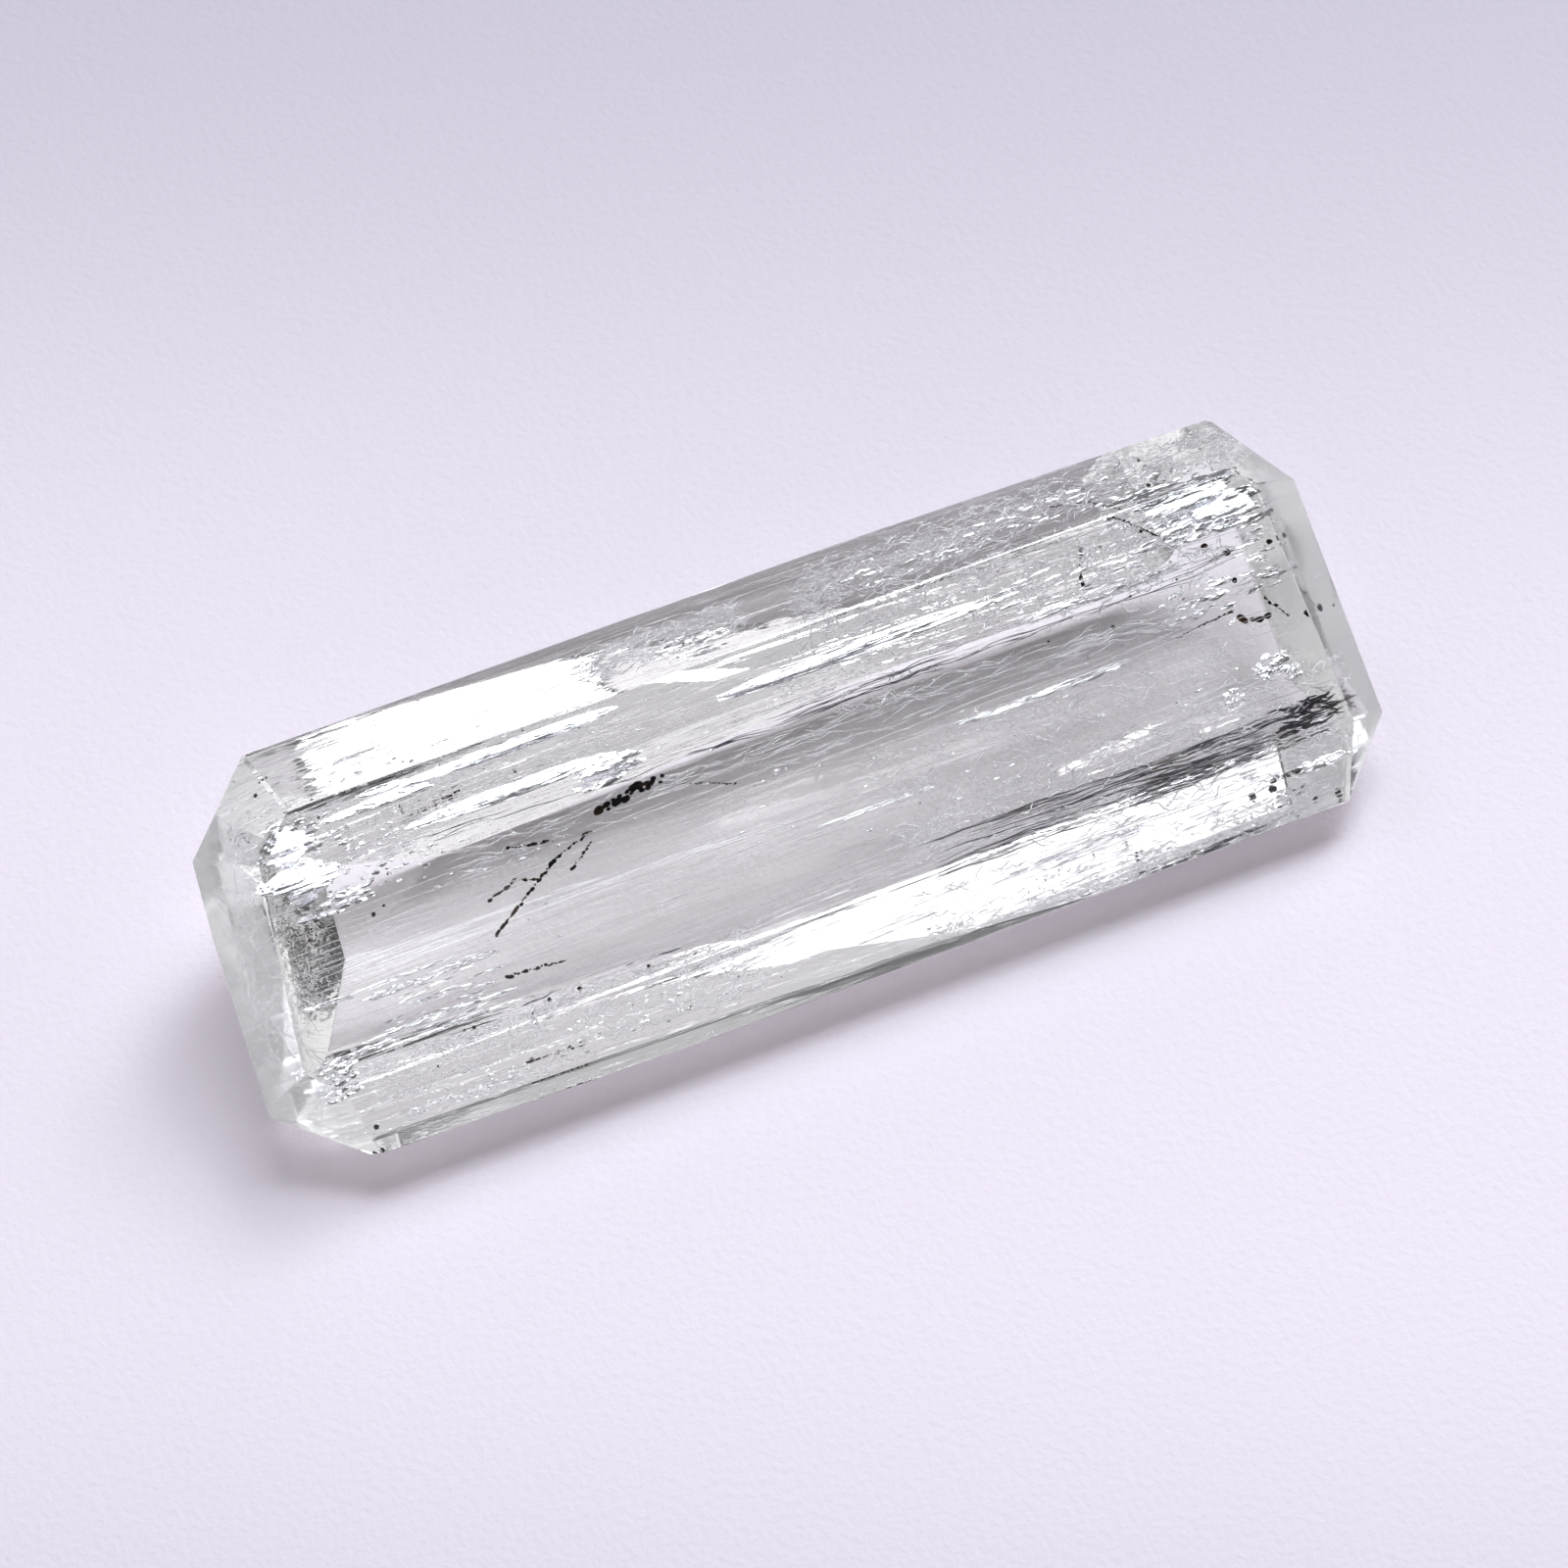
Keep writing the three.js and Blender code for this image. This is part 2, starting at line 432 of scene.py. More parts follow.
def tubeTree():
    tree, given, stone = newTree("tubes in the stone",
                                 {"Count": "Int", "Middle": "Vector", "Reach": "Vector", "Longest": "Float",
                                  "Thickness": "Float", "Lean": "Vector", "Wave": "Float",
                                  "Wave Size": "Float", "Bunching": "Float", "Fold": "Float",
                                  "Sides": "Int", "Steps": "Int"})
    low = addNode(tree, "ShaderNodeVectorMath", {"operation": "SUBTRACT"},
                  links={0: given["Middle"], 1: given["Reach"]})
    high = addNode(tree, "ShaderNodeVectorMath", {"operation": "ADD"},
                   links={0: given["Middle"], 1: given["Reach"]})
    spot = addNode(tree, "FunctionNodeRandomValue", {"data_type": "FLOAT_VECTOR"},
                   links={0: low, 1: high, "Seed": given["Seed"]})
    cloud = addNode(tree, "GeometryNodePoints", links={"Count": given["Count"], "Position": spot})
    place = addNode(tree, "GeometryNodeInputPosition")
    seedShift = addNode(tree, "ShaderNodeCombineXYZ", links={"X": given["Seed"], "Z": given["Seed"]})
    bunchPlace = addNode(tree, "ShaderNodeVectorMath", {"operation": "MULTIPLY_ADD"},
                         {1: tubes["bunchScale"]}, {0: place, 2: seedShift})
    bunch = addNode(tree, "ShaderNodeTexNoise", values={"Scale": 1.0}, links={"Vector": bunchPlace})
    sparse = addNode(tree, "ShaderNodeMath", {"operation": "LESS_THAN"},
                     links={0: bunch, 1: given["Bunching"]})
    bunched = addNode(tree, "GeometryNodeDeleteGeometry", {"domain": "POINT"},
                      links={"Geometry": cloud, "Selection": sparse})

    backLean = addNode(tree, "ShaderNodeVectorMath", {"operation": "SCALE"}, {"Scale": -1.0},
                       {0: given["Lean"]})
    turn = addNode(tree, "FunctionNodeRandomValue", {"data_type": "FLOAT_VECTOR"},
                   links={0: backLean, 1: given["Lean"], "Seed": given["Seed"]})
    rotation = addNode(tree, "FunctionNodeEulerToRotation", links={0: turn})
    share = addNode(tree, "FunctionNodeRandomValue", {"data_type": "FLOAT"}, {2: tubes["shortest"], 3: 1.0},
                    {"Seed": given["Seed"]}).outputs[1]
    squared = addNode(tree, "ShaderNodeMath", {"operation": "POWER"}, {1: 2.0}, {0: share})
    length = addNode(tree, "ShaderNodeMath", {"operation": "MULTIPLY"},
                     links={0: squared, 1: given["Longest"]})
    size = addNode(tree, "ShaderNodeCombineXYZ", values={"Y": 1.0, "Z": 1.0}, links={"X": length})
    line = addNode(tree, "GeometryNodeCurvePrimitiveLine",
                   values={"Start": (-0.5, 0, 0), "End": (0.5, 0, 0)})
    lines = addNode(tree, "GeometryNodeInstanceOnPoints",
                    links={"Points": bunched, "Instance": line, "Rotation": rotation, "Scale": size})
    single = addNode(tree, "GeometryNodeRealizeInstances", links={"Geometry": lines})
    stepped = addNode(tree, "GeometryNodeResampleCurve", links={"Curve": single, "Count": given["Steps"]})

    perSize = addNode(tree, "ShaderNodeMath", {"operation": "DIVIDE"}, {0: 1.0}, {1: given["Wave Size"]})
    ripple = addNode(tree, "ShaderNodeTexNoise", values={"Detail": 1.0},
                     links={"Vector": place, "Scale": perSize}).outputs["Color"]
    centred = addNode(tree, "ShaderNodeVectorMath", {"operation": "SUBTRACT"}, {1: (noiseMiddle,) * 3},
                      {0: ripple})
    swing = addNode(tree, "ShaderNodeVectorMath", {"operation": "SCALE"},
                    links={0: centred, "Scale": given["Wave"]})
    foldNoise = addNode(tree, "ShaderNodeTexNoise", {"noise_dimensions": "2D"},
                        {"Scale": tubes["foldScale"], "Detail": 1.0}, {"Vector": place})
    foldCentred = addNode(tree, "ShaderNodeMath", {"operation": "SUBTRACT"}, {1: noiseMiddle},
                          {0: foldNoise})
    foldHeight = addNode(tree, "ShaderNodeMath", {"operation": "MULTIPLY"},
                         links={0: foldCentred, 1: given["Fold"]})
    foldOffset = addNode(tree, "ShaderNodeCombineXYZ", links={"Z": foldHeight})
    offset = addNode(tree, "ShaderNodeVectorMath", {"operation": "ADD"}, links={0: swing, 1: foldOffset})
    waved = addNode(tree, "GeometryNodeSetPosition", links={"Geometry": stepped, "Offset": offset})
    kept = clipped(tree, waved, stone, given["Clearance"], tubes["fewestPoints"])

    along = addNode(tree, "GeometryNodeSplineParameter")
    halfTurn = addNode(tree, "ShaderNodeMath", {"operation": "MULTIPLY"}, {1: math.pi}, {0: along})
    belly = addNode(tree, "ShaderNodeMath", {"operation": "SINE"}, links={0: halfTurn})
    taper = addNode(tree, "ShaderNodeMath", {"operation": "POWER"}, {1: tubes["taper"]}, {0: belly})
    number = addNode(tree, "GeometryNodeInputIndex")
    which = addNode(tree, "GeometryNodeFieldOnDomain", {"domain": "CURVE", "data_type": "INT"},
                    links={0: number})
    girth = addNode(tree, "FunctionNodeRandomValue", {"data_type": "FLOAT"}, {2: tubes["thinnest"], 3: 1.0},
                    {"ID": which, "Seed": given["Seed"]}).outputs[1]
    width = addNode(tree, "ShaderNodeMath", {"operation": "MULTIPLY"}, links={0: taper, 1: girth})
    blunt = addNode(tree, "ShaderNodeMath", {"operation": "MAXIMUM"}, {1: tubes["tip"]}, {0: width})
    ring = addNode(tree, "GeometryNodeCurvePrimitiveCircle",
                   links={"Resolution": given["Sides"], "Radius": given["Thickness"]})
    solid = addNode(tree, "GeometryNodeCurveToMesh", values={"Fill Caps": True},
                    links={"Curve": kept, "Profile Curve": ring, "Scale": blunt})
    finishTree(tree, given, solid, stone)
    return tree


tubesTree = tubeTree()


# what a bunch has unless it says otherwise
usualBunch = {"Wave Size": 0.2, "Bunching": 0.42, "Sides": 5, "Steps": 10}
# middle and half size are in mm, x along, y across, z up from the table, and a lean is in radians
bunches = [
    {"name": "growthTubes", "Finish": hollow, "Count": 1000, "Middle": (0, 0, -1.3),
     "Reach": (8.3, 2.9, 1.6), "Longest": 5.0, "Thickness": 0.009, "Lean": (0.0, 0.03, 0.05), "Wave": 0.06,
     "Wave Size": 2.5, "Bunching": 0.5, "Seed": 5},
    {"name": "paleFibres", "Finish": film, "Count": 2000, "Middle": (0, 0, -1.2), "Reach": (8.3, 2.9, 1.5),
     "Longest": 3.2, "Thickness": 0.0045, "Lean": (0.0, 0.03, 0.05), "Wave": 0.05, "Wave Size": 2.0,
     "Bunching": 0.52, "Sides": 3, "Steps": 6, "Seed": 9},
    {"name": "upperWisps", "Finish": film, "Count": 1100, "Middle": (4.0, 1.5, -0.75),
     "Reach": (3.2, 0.9, 0.05), "Longest": 0.45, "Thickness": 0.018, "Lean": (0.1, 0.1, 0.7), "Wave": 0.4,
     "Bunching": 0.45, "Fold": 0.6, "Seed": 21},
    {"name": "crownWisps", "Finish": film, "Count": 1200, "Middle": (4.6, 2.35, -0.78),
     "Reach": (3.6, 0.4, 0.15), "Longest": 0.5, "Thickness": 0.015, "Lean": (0.1, 0.1, 0.5), "Wave": 0.3,
     "Bunching": 0.45, "Fold": 0.4, "Seed": 23},
    {"name": "lowerWisps", "Finish": film, "Count": 900, "Middle": (4.6, -1.7, -0.9),
     "Reach": (3.4, 0.75, 0.3), "Longest": 0.5, "Thickness": 0.014, "Lean": (0.1, 0.1, 0.6), "Wave": 0.35,
     "Wave Size": 0.22, "Bunching": 0.48, "Fold": 0.4, "Seed": 22},
    {"name": "middleWisps", "Finish": film, "Count": 500, "Middle": (-1.2, 2.35, -0.7),
     "Reach": (1.3, 0.3, 0.15), "Longest": 0.5, "Thickness": 0.014, "Lean": (0.1, 0.1, 0.5), "Wave": 0.3,
     "Fold": 0.3, "Seed": 24},
    {"name": "frontWisps", "Finish": film, "Count": 700, "Middle": (-4.2, -2.2, -0.85),
     "Reach": (2.9, 0.4, 0.2), "Longest": 0.4, "Thickness": 0.013, "Lean": (0.1, 0.1, 0.6), "Wave": 0.35,
     "Bunching": 0.45, "Fold": 0.3, "Seed": 25},
    {"name": "endWisps", "Finish": film, "Count": 150, "Middle": (-7.95, -0.4, -0.95),
     "Reach": (0.3, 1.7, 0.3), "Longest": 0.9, "Thickness": 0.009, "Lean": (0.2, 0.2, 1.5), "Wave": 0.2,
     "Wave Size": 0.4, "Bunching": 0.35, "Sides": 4, "Seed": 26},
    {"name": "windowWisps", "Finish": film, "Count": 260, "Middle": (4.0, -0.8, -1.1),
     "Reach": (2.9, 0.7, 0.3), "Longest": 0.6, "Thickness": 0.011, "Lean": (0.1, 0.1, 0.7), "Wave": 0.35,
     "Wave Size": 0.3, "Fold": 0.3, "Seed": 27},
    {"name": "bandWisps", "Finish": film, "Count": 600, "Middle": (1.2, 0.42, -0.9),
     "Reach": (6.2, 0.22, 0.1), "Longest": 0.8, "Thickness": 0.01, "Lean": (0.1, 0.1, 0.25), "Wave": 0.2,
     "Wave Size": 0.4, "Fold": 0.2, "Sides": 4, "Seed": 28},
    # painted shade: the dark fibres below darken the stone where it shows the shadowed floor: a line along
    # the back of the window, the band along the front edge and a knot near the right end
    {"name": "smokyLine", "Finish": shadeFibre, "Count": 110, "Middle": (1.2, 0.85, -0.8),
     "Reach": (6.2, 0.12, 0.1), "Longest": 1.8, "Thickness": 0.007, "Lean": (0.0, 0.03, 0.08),
     "Wave": 0.15, "Wave Size": 0.7, "Sides": 4, "Seed": 34},
    {"name": "smokyFibres", "Finish": shadeFibre, "Count": 130, "Middle": (4.3, -1.72, -0.8),
     "Reach": (2.6, 0.2, 0.15), "Longest": 1.6, "Thickness": 0.008, "Lean": (0.0, 0.03, 0.06),
     "Wave": 0.12, "Wave Size": 0.7, "Sides": 4, "Seed": 31},
    {"name": "smokyEdge", "Finish": shadeFibre, "Count": 130, "Middle": (-4.7, -1.66, -0.8),
     "Reach": (2.3, 0.05, 0.06), "Longest": 0.45, "Thickness": 0.012, "Lean": (0.0, 0.05, 0.12),
     "Wave": 0.12, "Wave Size": 0.3, "Bunching": 0.46, "Sides": 4, "Seed": 35},
    {"name": "smokyBand", "Finish": shadeFibre, "Count": 120, "Middle": (5.9, -1.72, -0.8),
     "Reach": (1.2, 0.17, 0.15), "Longest": 1.3, "Thickness": 0.009, "Lean": (0.0, 0.03, 0.08),
     "Wave": 0.12, "Wave Size": 0.6, "Bunching": 0.44, "Sides": 4, "Seed": 32},
    {"name": "smokyKnot", "Finish": darkShadeFibre, "Count": 150, "Middle": (7.45, -1.66, -0.72),
     "Reach": (0.45, 0.2, 0.1), "Longest": 0.45, "Thickness": 0.016, "Lean": (0.1, 0.1, 0.3), "Wave": 0.12,
     "Wave Size": 0.25, "Bunching": 0.4, "Steps": 8, "Seed": 33},
]
for bunch in bunches:
    grow(bunch["name"], tubesTree, bpy.data.meshes.new(bunch["name"]), {**usualBunch, **bunch})


# dark grains strung on needles, and loose specks
grains = {
    "Spacing": 1.1,             # from grain to grain, over the needle's width
    "Stretch": 1.5,             # a grain's length over its width
    "Lumpiness": 0.6,
    "Seed": 3,
    "astray": 0.3,              # how far a grain may lie off its needle, over the needle's width
    "girths": (0.4, 1.2),       # least and most, over the needle's width
    "lumpCells": 22.0,          # per mm
    # each needle's width and depth below the table in mm, and its way along and across the stone
    "needles": [
        (0.05, 1.2, [(-4.75, -0.64), (-4.13, -0.26), (-3.58, 0.08), (-3.0, 0.27)]),
        (0.1, 0.65, [(-2.82, 0.53), (-2.53, 0.61), (-2.28, 0.63)]),
        (0.1, 0.65, [(-2.7, 0.5), (-2.5, 0.54), (-2.3, 0.56)]),
        (0.1, 0.65, [(-2.2, 0.64), (-2.07, 0.66), (-1.82, 0.67)]),
        (0.09, 0.65, [(-2.18, 0.58), (-2.05, 0.6), (-1.86, 0.6)]),
        (0.05, 1.3, [(-4.66, -0.16), (-4.2, -0.01), (-3.92, -0.11)]),
        (0.05, 1.5, [(-3.39, -0.15), (-3.0, 0.12)]),
        (0.05, 1.0, [(-4.19, 0.43), (-3.57, 0.33)]),
        (0.03, 1.1, [(-1.73, 0.52), (-1.2, 0.36), (-0.79, 0.2)]),
        (0.05, 1.7, [(-4.76, -1.26), (-4.3, -1.28), (-3.92, -1.34)]),
        (0.05, 1.1, [(5.16, 1.67), (5.02, 1.4), (4.99, 1.12)]),
        (0.05, 1.1, [(7.26, 1.33), (7.49, 1.33)]),
        (0.04, 1.1, [(7.61, 1.26), (7.75, 1.26)]),
        (0.03, 1.2, [(6.07, 0.0), (6.5, 0.06), (7.01, 0.09)]),
        (0.09, 1.5, [(7.04, 0.07), (7.2, -0.1), (7.38, -0.17), (7.52, -0.15)]),
        (0.05, 1.5, [(7.58, 0.13), (7.7, -0.05), (7.81, -0.25)]),
        (0.03, 0.7, [(4.88, 2.31), (5.46, 2.16), (5.62, 2.04)]),
        (0.03, 0.7, [(5.46, 2.16), (5.83, 1.85), (6.18, 1.54), (6.35, 1.37)]),
    ],
    # size in mm, then the places of the specks of that size, with their depth below the table
    "specks": [
        (0.11, [(6.95, 1.1, 1.3), (7.24, 0.93, 1.3), (8.0, -0.3, 0.9)]),
        (0.075, [(-7.3, -2.5, 0.9), (7.21, 0.51, 1.3), (6.43, 2.53, 0.8), (8.33, -0.33, 0.9),
                 (7.82, 0.86, 0.9), (6.17, 2.02, 0.7), (6.39, 2.07, 0.7), (-6.32, 0.21, 1.0),
                 (5.5, 1.61, 1.4), (-5.54, -1.76, 0.9), (-4.4, -1.76, 0.9)]),
        (0.052, [(6.83, 2.19, 0.8), (6.02, 1.62, 0.7), (5.66, 0.98, 1.4), (6.41, 0.8, 1.4),
                 (6.41, 0.5, 1.4), (5.27, 0.47, 1.4), (4.76, 0.18, 1.4), (-6.14, 0.28, 1.0),
                 (-5.93, 0.68, 1.0), (-7.17, 2.22, 1.0), (-3.94, -1.76, 0.9)]),
        (0.045, [(-5.22, -2.02, 0.9), (-4.68, -1.86, 0.9), (-3.87, -2.35, 0.9), (-3.29, -2.11, 0.9),
                 (-2.51, -2.44, 0.9), (-1.72, -2.27, 0.9), (-5.68, -1.75, 0.9), (-1.13, -2.5, 0.9),
                 (-6.2, -1.95, 0.9), (-2.9, -1.8, 0.9), (4.97, 2.45, 0.8), (5.34, 2.3, 0.8)]),
        (0.038, [(5.67, 0.8, 1.4), (4.29, 0.59, 1.4), (3.78, 0.61, 1.4), (3.34, 0.4, 1.4),
                 (3.34, -0.52, 1.4), (-6.58, 1.75, 1.0), (-7.71, 1.75, 1.0), (-7.06, 2.38, 1.0)]),
    ],
}


def carry(mesh, label, kind, values):
    # keeps a number or a vector at each point, for the tree to read
    attribute = mesh.attributes.new(label, kind, "POINT")
    attribute.data.foreach_set("value" if kind == "FLOAT" else "vector", values)


def wayMesh(name, ways):
    # open lines, or single points, that carry their width
    mesh = bpy.data.meshes.new(name)
    points, edges, widths = [], [], []
    for width, way in ways:
        first = len(points)
        points += [(x, y, -depth) for x, y, depth in way]
        edges += [(first + i, first + i + 1) for i in range(len(way) - 1)]
        widths += [width] * len(way)
    mesh.from_pydata(points, edges, [])
    carry(mesh, "width", "FLOAT", widths)
    return mesh


def grainTree():
    tree, given, stone = newTree("grains",
                                 {"Spacing": "Float", "Stretch": "Float", "Lumpiness": "Float",
                                  "Strung": "Bool"})
    width = addNode(tree, "GeometryNodeInputNamedAttribute", {"data_type": "FLOAT"}, {"Name": "width"})
    line = addNode(tree, "GeometryNodeMeshToCurve", links={"Mesh": given["Start"]})
    pace = addNode(tree, "ShaderNodeMath", {"operation": "MULTIPLY"}, links={0: width, 1: given["Spacing"]})
    strung = addNode(tree, "GeometryNodeResampleCurve", {"mode": "LENGTH"},
                     links={"Curve": line, "Length": pace})
    astray = grains["astray"]
    jitter = addNode(tree, "FunctionNodeRandomValue", {"data_type": "FLOAT_VECTOR"},
                     {0: (-astray,) * 3, 1: (astray,) * 3}, {"Seed": given["Seed"]})
    aside = addNode(tree, "ShaderNodeVectorMath", {"operation": "SCALE"}, links={0: jitter, "Scale": width})
    strayed = addNode(tree, "GeometryNodeSetPosition", links={"Geometry": strung, "Offset": aside})
    onLine = addNode(tree, "GeometryNodeCurveToPoints", {"mode": "EVALUATED"}, links={"Curve": strayed})
    loose = addNode(tree, "GeometryNodeMeshToPoints", links={"Mesh": given["Start"]})
    points = addNode(tree, "GeometryNodeSwitch", {"input_type": "GEOMETRY"},
                     links={"Switch": given["Strung"], "False": loose, "True": onLine})

    ball = addNode(tree, "GeometryNodeMeshIcoSphere", values={"Radius": 0.5, "Subdivisions": 2})
    least, most = grains["girths"]
    chance = addNode(tree, "FunctionNodeRandomValue", {"data_type": "FLOAT"}, {2: least, 3: most},
                     {"Seed": given["Seed"]}).outputs[1]
    girth = addNode(tree, "ShaderNodeMath", {"operation": "MULTIPLY"}, links={0: width, 1: chance})
    longer = addNode(tree, "ShaderNodeMath", {"operation": "MULTIPLY"},
                     links={0: girth, 1: given["Stretch"]})
    size = addNode(tree, "ShaderNodeCombineXYZ", links={"X": girth, "Y": girth, "Z": longer})
    rolled = addNode(tree, "GeometryNodeInstanceOnPoints",
                     links={"Points": points, "Instance": ball, "Rotation": onLine.outputs["Rotation"],
                            "Scale": size})
    single = addNode(tree, "GeometryNodeRealizeInstances", links={"Geometry": rolled})
    place = addNode(tree, "GeometryNodeInputPosition")
    rough = addNode(tree, "ShaderNodeTexNoise", values={"Scale": grains["lumpCells"]},
                    links={"Vector": place}).outputs["Color"]
    centred = addNode(tree, "ShaderNodeVectorMath", {"operation": "SUBTRACT"}, {1: (noiseMiddle,) * 3},
                      {0: rough})
    lump = addNode(tree, "ShaderNodeMath", {"operation": "MULTIPLY"},
                   links={0: width, 1: given["Lumpiness"]})
    offset = addNode(tree, "ShaderNodeVectorMath", {"operation": "SCALE"},
                     links={0: centred, "Scale": lump})
    lumpy = addNode(tree, "GeometryNodeSetPosition", links={"Geometry": single, "Offset": offset})
    finishTree(tree, given, lumpy, stone)
    return tree


def growGrains():
    tree = grainTree()
    ways = [(width, [(x, y, depth) for x, y in way]) for width, depth, way in grains["needles"]]
    spots = [(size, [spot]) for size, places in grains["specks"] for spot in places]
    grow("needles", tree, wayMesh("needles", ways), {**grains, "Finish": oxide, "Strung": True})
    grow("specks", tree, wayMesh("specks", spots), {**grains, "Finish": oxide, "Strung": False})


growGrains()


# bright flakes: thin plates of air in cracks, in patches that lie nearly flat to the table
flakes = {
    "Per Patch": 40,
    "Lean": (0.08, 0.12, 0.12),       # how far a flake may depart from the tilt
    "Jag": (0.2, 0.05, 0.01),         # mm that noise pushes its outline about
    "Detail": 2,                      # subdivisions of the ball that it is pressed from
    "Seed": 17,
    "thickness": 0.012,               # mm
    "tilt": -0.24,                    # radians, minus is towards the back
    # the patch's middle, how far it reaches along and across, how long and wide its flakes are, and
    # its own tilt where they lie another way
    "patches": [
        ((-2.53, 0.98, 0.6), (0.45, 0.16), (0.3, 0.1)),
        ((6.95, 1.45, 0.4), (0.7, 0.25), (0.4, 0.1)),
        ((6.5, 0.4, 1.0), (0.55, 0.22), (0.28, 0.08)),
        ((7.5, 0.75, 0.7), (0.25, 0.5), (0.22, 0.05)),
        ((5.0, 1.25, 0.7), (1.2, 0.35), (0.4, 0.05)),
        ((0.0, 0.2, 1.0), (6.5, 1.5), (0.06, 0.04)),
        ((3.0, -0.4, 1.0), (4.5, 1.1), (0.07, 0.035)),
        ((-1.5, 0.0, 1.2), (3.2, 1.2), (0.06, 0.03)),
        ((4.5, -0.8, 1.3), (2.5, 0.8), (0.1, 0.03)),
        ((7.3, -0.84, 1.2), (0.27, 0.15), (0.16, 0.1)),
        ((7.6, -1.04, 1.5), (0.1, 0.1), (0.1, 0.08)),
        ((6.65, -1.09, 1.7), (0.1, 0.12), (0.1, 0.06)),
        ((3.95, -0.09, 1.6), (1.1, 0.04), (0.7, 0.045)),
        ((5.2, 1.0, 1.3), (1.2, 0.06), (0.6, 0.04)),
        ((3.5, 1.43, 1.0), (0.75, 0.06), (0.5, 0.04)),
        ((-7.3, -0.75, 1.6), (0.3, 0.03), (0.3, 0.03)),
        ((-6.2, -0.88, 1.6), (0.45, 0.04), (0.3, 0.03)),
        ((-5.2, -0.86, 1.6), (0.33, 0.04), (0.3, 0.03)),
        ((-7.5, -1.72, 1.2), (0.22, 0.12), (0.15, 0.08)),
        ((-7.2, -1.55, 1.3), (0.5, 0.04), (0.3, 0.05)),
        ((-5.8, -2.47, 0.9), (0.9, 0.05), (0.08, 0.05)),
        ((-5.86, -1.2, 0.7), (0.8, 0.4), (0.5, 0.03)),
        ((-6.6, 1.3, 0.8), (0.8, 0.7), (0.12, 0.06)),
        ((-5.9, 0.95, 0.8), (0.9, 0.4), (0.1, 0.05)),
        ((-7.0, 1.1, 0.7), (0.3, 0.7), (0.3, 0.14)),
        ((-6.6, 0.55, 0.7), (0.35, 0.12), (0.22, 0.07)),
        ((-5.2, -2.35, 0.9), (1.3, 0.2), (0.09, 0.05), -0.12),
        ((-3.0, -2.3, 0.9), (1.3, 0.25), (0.1, 0.05), -0.12),
        ((7.45, -2.3, 0.8), (0.25, 0.06), (0.3, 0.08), -0.1),
        ((3.0, 2.3, 0.5), (1.6, 0.25), (0.2, 0.05), -0.49),
        ((5.6, 2.3, 0.5), (1.4, 0.25), (0.2, 0.05), -0.49),
        ((-0.9, 2.2, 0.4), (0.5, 0.2), (0.4, 0.05), -0.49),
        ((-4.4, 0.5, 1.2), (1.4, 0.35), (0.07, 0.04)),
        ((6.3, 2.0, 0.8), (0.9, 0.4), (0.16, 0.07)),
    ],
}
# long ribbons of the same film, each a few plates over one another
ribbons = {
    "Per Patch": 5,
    "Lean": (0.02, 0.02, 0.01),
    "Jag": (0.45, 0.035, 0.0),
    "Detail": 4,
    "Seed": 19,
    "thickness": 0.012,
    "tilt": -0.248,
    "patches": [
        ((-3.6, 1.76, 0.25), (0.25, 0.04), (3.6, 0.2)),
        ((-3.85, 1.22, 0.5), (0.3, 0.05), (3.0, 0.22)),
        ((1.4, 1.42, 0.4), (0.5, 0.04), (5.6, 0.24)),
        ((-5.83, -1.6, 0.7), (0.4, 0.02), (1.8, 0.05)),
        ((-7.1, 1.55, 0.3), (0.25, 0.3), (0.9, 0.35)),
        ((-7.2, 0.95, 0.4), (0.15, 0.3), (0.8, 0.3)),
        ((-5.9, 1.75, 0.25), (0.4, 0.12), (1.2, 0.18)),
        ((6.8, 1.85, 0.3), (0.3, 0.1), (1.2, 0.18)),
        ((7.2, 1.62, 0.3), (0.25, 0.15), (0.8, 0.28)),
        ((6.4, 2.0, 0.3), (0.3, 0.1), (0.8, 0.12)),
        ((-6.3, -0.75, 0.8), (0.5, 0.03), (1.4, 0.035)),
        ((-6.0, -1.42, 0.8), (0.5, 0.03), (1.8, 0.05)),
        ((-2.45, 1.08, 0.4), (0.25, 0.08), (0.7, 0.16)),
        ((3.95, -0.09, 1.6), (0.9, 0.04), (1.6, 0.05)),
        ((1.1, -0.8, 1.6), (0.5, 0.04), (1.3, 0.03)),
    ],
}


# what holds for flakes and ribbons alike
plateGrowth = {
    "smallest": 0.25,             # over the patch's own flake size
    "largest": 1.3,
    "jagCells": (6, 16, 1),       # per mm along, across and through
    "spreadInDepth": 0.1,         # mm
    "clearOfSkin": 0.08,
}
plateMarks = (("tilt", "FLOAT"), ("reach", "FLOAT_VECTOR"), ("flake", "FLOAT_VECTOR"))


def plateMesh(name, plates):
    mesh = bpy.data.meshes.new(name)
    middles, marks = [], {"tilt": [], "reach": [], "flake": []}
    for (x, y, depth), reach, flake, *own in plates["patches"]:
        middles.append((x, y, -depth))
        marks["tilt"] += own or [plates["tilt"]]
        marks["reach"] += [*reach, plateGrowth["spreadInDepth"]]
        marks["flake"] += [*flake, plates["thickness"]]
    mesh.from_pydata(middles, [], [])
    for label, kind in plateMarks:
        carry(mesh, label, kind, marks[label])
    return mesh


